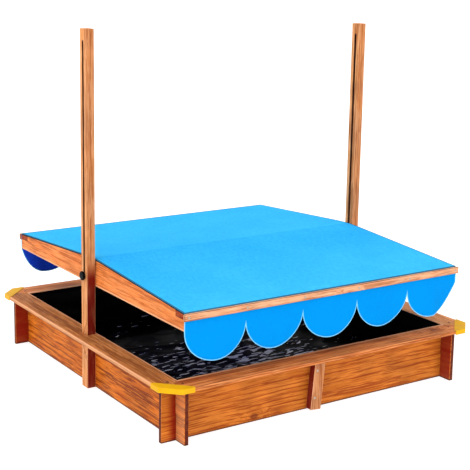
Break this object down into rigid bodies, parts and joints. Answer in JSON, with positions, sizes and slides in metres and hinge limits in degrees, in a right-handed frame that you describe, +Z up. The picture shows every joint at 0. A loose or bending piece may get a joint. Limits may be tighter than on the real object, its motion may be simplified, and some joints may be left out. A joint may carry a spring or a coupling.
{
  "type": "children's sandbox with cover",
  "caption": "Square wooden children's sandbox with a bench rim and a cloth gable roof that slides up two slotted posts and tilts on clamp bolts.",
  "frame": {"origin": "centre of the square box on the ground", "axes": "+Z up; X across the two posts; -Y towards the side with the leaning front batten"},
  "size_m": [1.204, 1.204, 1.162],
  "materials": {
    "wood": "satin red-brown glaze on softwood",
    "bench_wood": "satin red-brown glaze, slightly weathered",
    "post_wood": "satin light brown glaze",
    "corner_cap": "moulded yellow plastic",
    "liner": "black sheet, slightly shiny",
    "screw": "zinc plated",
    "bolt": "zinc plated",
    "roof_cloth": "woven polyester",
    "valance_cloth": "woven polyester with bound edges",
    "knob": "black moulded plastic"
  },
  "bodies": {
    "sandbox": {"front_plank_left": "wood", "front_plank_right": "wood", "back_plank_left": "wood", "back_plank_right": "wood", "left_plank_front": "wood", "left_plank_back": "wood", "right_plank_front": "wood", "right_plank_back": "wood", "front_batten": "wood", "back_batten": "wood", "left_post": "post_wood", "right_post": "post_wood", "front_bench": "bench_wood", "back_bench": "bench_wood", "left_bench": "bench_wood", "right_bench": "bench_wood", "corner_cap_front_left": "corner_cap", "corner_cap_front_right": "corner_cap", "corner_cap_back_left": "corner_cap", "corner_cap_back_right": "corner_cap", "liner": "liner", "batten_screws": "screw", "post_screws": "screw", "bench_screws": "screw"},
    "roof_carriage": {"bolt_left": "bolt", "bolt_right": "bolt", "bolt_head_washers": "bolt", "spacer_washers": "bolt", "knob_washers": "bolt"},
    "roof": {"roof_side_left": "wood", "roof_side_right": "wood", "roof_rail_front": "wood", "roof_rail_back": "wood", "roof_ridge": "wood", "clamp_strip_front": "post_wood", "clamp_strip_back": "post_wood", "roof_cloth": "roof_cloth", "valance_front": "valance_cloth", "valance_back": "valance_cloth", "strip_screws": "screw", "rail_screws": "screw"},
    "knob_left": {"knob_left": "knob"},
    "knob_right": {"knob_right": "knob"}
  },
  "joints": [
    {"name": "roof_height", "type": "slide", "parent": "sandbox", "child": "roof_carriage", "axis": [0, 0, 1], "range_m": [0, 0.74]},
    {"name": "roof_tilt", "type": "hinge", "parent": "roof_carriage", "child": "roof", "pos_m": [0, 0, 0.376], "axis": [1, 0, 0], "range_deg": [-15, 15], "deforming": ["valance_front", "valance_back"]},
    {"name": "knob_left_turn", "type": "hinge", "parent": "roof_carriage", "child": "knob_left", "pos_m": [-0.563, 0, 0.376], "axis": [-1, 0, 0], "range_deg": [0, 720]},
    {"name": "knob_right_turn", "type": "hinge", "parent": "roof_carriage", "child": "knob_right", "pos_m": [0.563, 0, 0.376], "axis": [1, 0, 0], "range_deg": [0, 720]}
  ]
}
